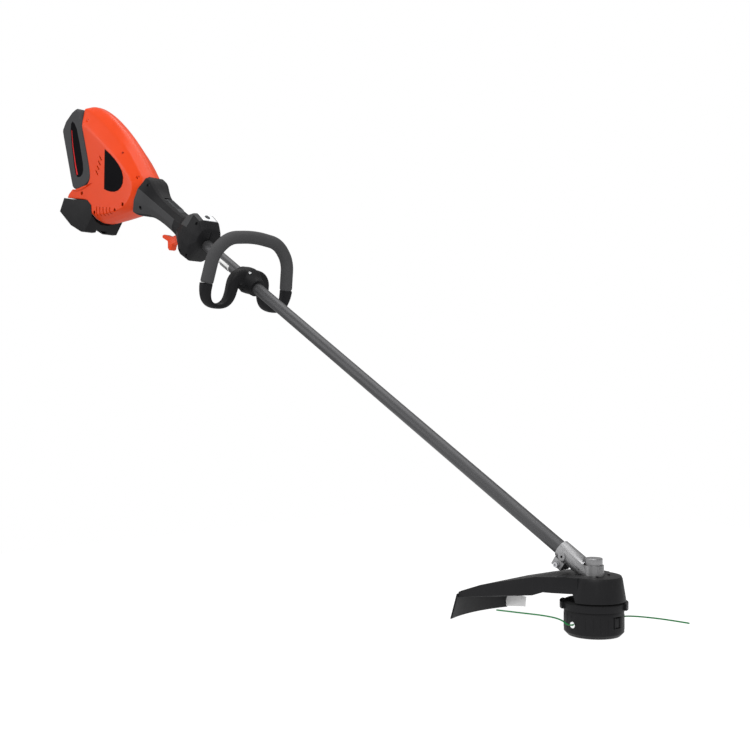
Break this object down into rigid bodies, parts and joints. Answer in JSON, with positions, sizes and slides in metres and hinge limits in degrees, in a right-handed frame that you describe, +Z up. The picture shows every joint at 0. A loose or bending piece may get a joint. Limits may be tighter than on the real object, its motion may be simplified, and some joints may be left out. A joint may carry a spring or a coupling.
{
  "type": "string trimmer",
  "caption": "Battery string trimmer standing on its bump knob: line head and guard on a long straight shaft, clamped loop handle, trigger grip, motor housing and slide-in battery.",
  "frame": {"origin": "centre of the bump knob's flat face, on the ground under the middle of the cutting head", "axes": "+Z up along the cutting head's axis; the shaft rises towards -X; +Y is the machine's left side as its user holds it"},
  "size_m": [1.6463, 0.245, 1.0935],
  "materials": {
    "battery_grey": "satin",
    "black_plastic": "fine texture",
    "board_green": "lacquered",
    "bright_steel": "ground",
    "bush_black": "moulded",
    "cast_silver": "cast, bright",
    "cell_blue": "shrink film",
    "charcoal_plastic": "satin",
    "chrome_ring": "polished",
    "copper": "wound wire",
    "dark_steel": "blackened",
    "decal_black": "printed film",
    "grey_plastic": "satin",
    "label_white": "printed film",
    "line_green": "drawn",
    "orange_shell": "glossy",
    "soft_grip": "soft touch",
    "tube_grey": "satin",
    "white_panel": "glossy",
    "window_black": "glossy with a coloured stripe"
  },
  "bodies": {
    "frame": {"gearbox_case": "cast_silver", "gearbox_cap": "black_plastic", "output_bearings": "bright_steel", "pinion_bearings": "bright_steel", "collar_bolts": "dark_steel", "guard_shell": "charcoal_plastic", "guard_screws": "dark_steel", "guard_skirt": "charcoal_plastic", "line_knife": "bright_steel", "shaft_tube": "tube_grey", "shaft_bushes": "bush_black", "tube_label": "label_white", "handle_right": "black_plastic", "handle_left": "black_plastic", "pod_panel": "white_panel", "trigger_pin": "dark_steel", "lever_pin": "dark_steel", "trigger_spring": "bright_steel", "lever_spring": "bright_steel", "switch_module": "black_plastic", "handle_screws": "dark_steel", "housing_right": "orange_shell", "housing_left": "orange_shell", "housing_screws": "dark_steel", "side_decals": "decal_black", "rear_foot": "black_plastic", "motor_stator": "copper", "motor_bearings": "bright_steel", "controller_board": "board_green", "terminal_block": "bright_steel"},
    "head": {"head_cover": "charcoal_plastic", "head_case": "charcoal_plastic", "line_eyelets": "chrome_ring", "drive_flange": "dark_steel", "arbor_nut": "bright_steel", "output_shaft": "bright_steel", "output_gear": "dark_steel", "spool_spring": "bright_steel", "line_end_front": "line_green", "line_end_rear": "line_green"},
    "spool": {"line_spool": "black_plastic", "line_winding": "line_green", "bump_knob": "charcoal_plastic"},
    "drive": {"drive_shaft": "bright_steel", "pinion_gear": "dark_steel", "shaft_coupling": "bright_steel", "motor_rotor": "dark_steel"},
    "loop": {"loop_frame": "black_plastic", "loop_grip": "soft_grip", "clamp_cap": "black_plastic", "clamp_bolts": "dark_steel"},
    "power_button": {"power_button": "grey_plastic"},
    "trigger": {"trigger": "orange_shell"},
    "lockout_lever": {"lockout_lever": "grey_plastic"},
    "battery": {"battery_case": "battery_grey", "battery_windows": "window_black", "battery_cells": "cell_blue", "latch_spring": "bright_steel"},
    "latch": {"battery_latch": "black_plastic"}
  },
  "joints": [
    {"name": "head_spin", "type": "hinge", "parent": "frame", "child": "head", "pos_m": [0, 0, 0.05], "axis": [0, 0, 1], "continuous": true},
    {"name": "bump_slide", "type": "slide", "parent": "head", "child": "spool", "axis": [0, 0, 1], "range_m": [0, 0.006], "stiffness_N_per_m": 900, "springref_m": -0.008, "deforming": ["spool_spring"]},
    {"name": "drive_spin", "type": "hinge", "parent": "frame", "child": "drive", "pos_m": [0, 0, 0.0933], "axis": [-0.8471, 0, 0.5314], "continuous": true},
    {"name": "loop_slide", "type": "slide", "parent": "frame", "child": "loop", "axis": [-0.8471, 0, 0.5314], "range_m": [-0.12, 0.03]},
    {"name": "power_press", "type": "slide", "parent": "frame", "child": "power_button", "axis": [-0.6541, 0, -0.7564], "range_m": [0, 0.0012], "stiffness_N_per_m": 900, "springref_m": -0.002},
    {"name": "trigger_pull", "type": "hinge", "parent": "frame", "child": "trigger", "pos_m": [-1.07654, 0, 0.7332], "axis": [0, 1, 0], "range_deg": [0, 12], "stiffness_Nm_per_rad": 1.2, "springref_deg": -14.32, "deforming": ["trigger_spring"]},
    {"name": "lockout_press", "type": "hinge", "parent": "frame", "child": "lockout_lever", "pos_m": [-1.07444, 0, 0.78736], "axis": [0, -1, 0], "range_deg": [0, 5], "stiffness_Nm_per_rad": 1, "springref_deg": -14.32, "deforming": ["lever_spring"]},
    {"name": "battery_slide", "type": "slide", "parent": "frame", "child": "battery", "axis": [-0.3074, 0, 0.9516], "range_m": [0, 0.15]},
    {"name": "latch_press", "type": "slide", "parent": "battery", "child": "latch", "axis": [0.9516, 0, 0.3074], "range_m": [0, 0.0025], "stiffness_N_per_m": 1500, "springref_m": -0.002, "deforming": ["latch_spring"]}
  ],
  "couplings": [
    {"joint": "drive_spin", "follows": "head_spin", "ratio": 1.8}
  ]
}
